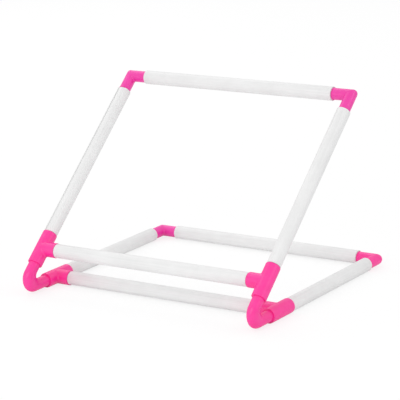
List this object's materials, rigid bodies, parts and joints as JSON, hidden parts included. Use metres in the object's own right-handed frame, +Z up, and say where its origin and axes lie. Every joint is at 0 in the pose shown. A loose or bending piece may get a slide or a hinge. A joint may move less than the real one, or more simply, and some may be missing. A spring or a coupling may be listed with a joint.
{
  "type": "embroidery tube frame",
  "caption": "Tilted rectangular embroidery frame on a flat base, made of white pipes with spring clips and pink elbows, tees and acute bends.",
  "frame": {"origin": "on the table, under the middle of the frame's outline", "axes": "+X along the cross bars to the viewer's right, +Y from the bends to the rear bar, +Z up"},
  "size_m": [0.3804, 0.3378, 0.2639],
  "materials": {
    "white_plastic": "smooth, softly glossy",
    "pink_plastic": "smooth, softly glossy"
  },
  "bodies": {
    "frame": {"top_pipe": "white_plastic", "low_pipe": "white_plastic", "left_upright_pipe": "white_plastic", "right_upright_pipe": "white_plastic", "front_pipe": "white_plastic", "rear_pipe": "white_plastic", "left_base_pipe": "white_plastic", "right_base_pipe": "white_plastic", "top_left_elbow": "pink_plastic", "top_right_elbow": "pink_plastic", "rear_left_elbow": "pink_plastic", "rear_right_elbow": "pink_plastic", "left_upright_tee": "pink_plastic", "right_upright_tee": "pink_plastic", "left_base_tee": "pink_plastic", "right_base_tee": "pink_plastic", "left_bend": "pink_plastic", "right_bend": "pink_plastic"},
    "top_clip": {"top_clip": "white_plastic"},
    "low_clip": {"low_clip": "white_plastic"},
    "left_upright_clip": {"left_upright_clip": "white_plastic"},
    "right_upright_clip": {"right_upright_clip": "white_plastic"},
    "front_clip": {"front_clip": "white_plastic"},
    "rear_clip": {"rear_clip": "white_plastic"},
    "left_base_clip": {"left_base_clip": "white_plastic"},
    "right_base_clip": {"right_base_clip": "white_plastic"}
  },
  "joints": [
    {"name": "top_clip_turn", "type": "hinge", "parent": "frame", "child": "top_clip", "pos_m": [0, 0.10202, 0.25425], "axis": [1, 0, 0], "continuous": true},
    {"name": "low_clip_turn", "type": "hinge", "parent": "frame", "child": "low_clip", "pos_m": [0, -0.1259, 0.05612], "axis": [1, 0, 0], "continuous": true},
    {"name": "left_upright_clip_turn", "type": "hinge", "parent": "frame", "child": "left_upright_clip", "pos_m": [-0.18, -0.1259, 0.05612], "axis": [0, 0.7547, 0.6561], "continuous": true},
    {"name": "right_upright_clip_turn", "type": "hinge", "parent": "frame", "child": "right_upright_clip", "pos_m": [0.18, -0.1259, 0.05612], "axis": [0, 0.7547, 0.6561], "continuous": true},
    {"name": "front_clip_turn", "type": "hinge", "parent": "frame", "child": "front_clip", "pos_m": [0, -0.09873, 0.0102], "axis": [1, 0, 0], "continuous": true},
    {"name": "rear_clip_turn", "type": "hinge", "parent": "frame", "child": "rear_clip", "pos_m": [0, 0.15927, 0.0102], "axis": [1, 0, 0], "continuous": true},
    {"name": "left_base_clip_turn", "type": "hinge", "parent": "frame", "child": "left_base_clip", "pos_m": [-0.18, 0, 0.0102], "axis": [0, 1, 0], "continuous": true},
    {"name": "right_base_clip_turn", "type": "hinge", "parent": "frame", "child": "right_base_clip", "pos_m": [0.18, 0, 0.0102], "axis": [0, 1, 0], "continuous": true}
  ]
}
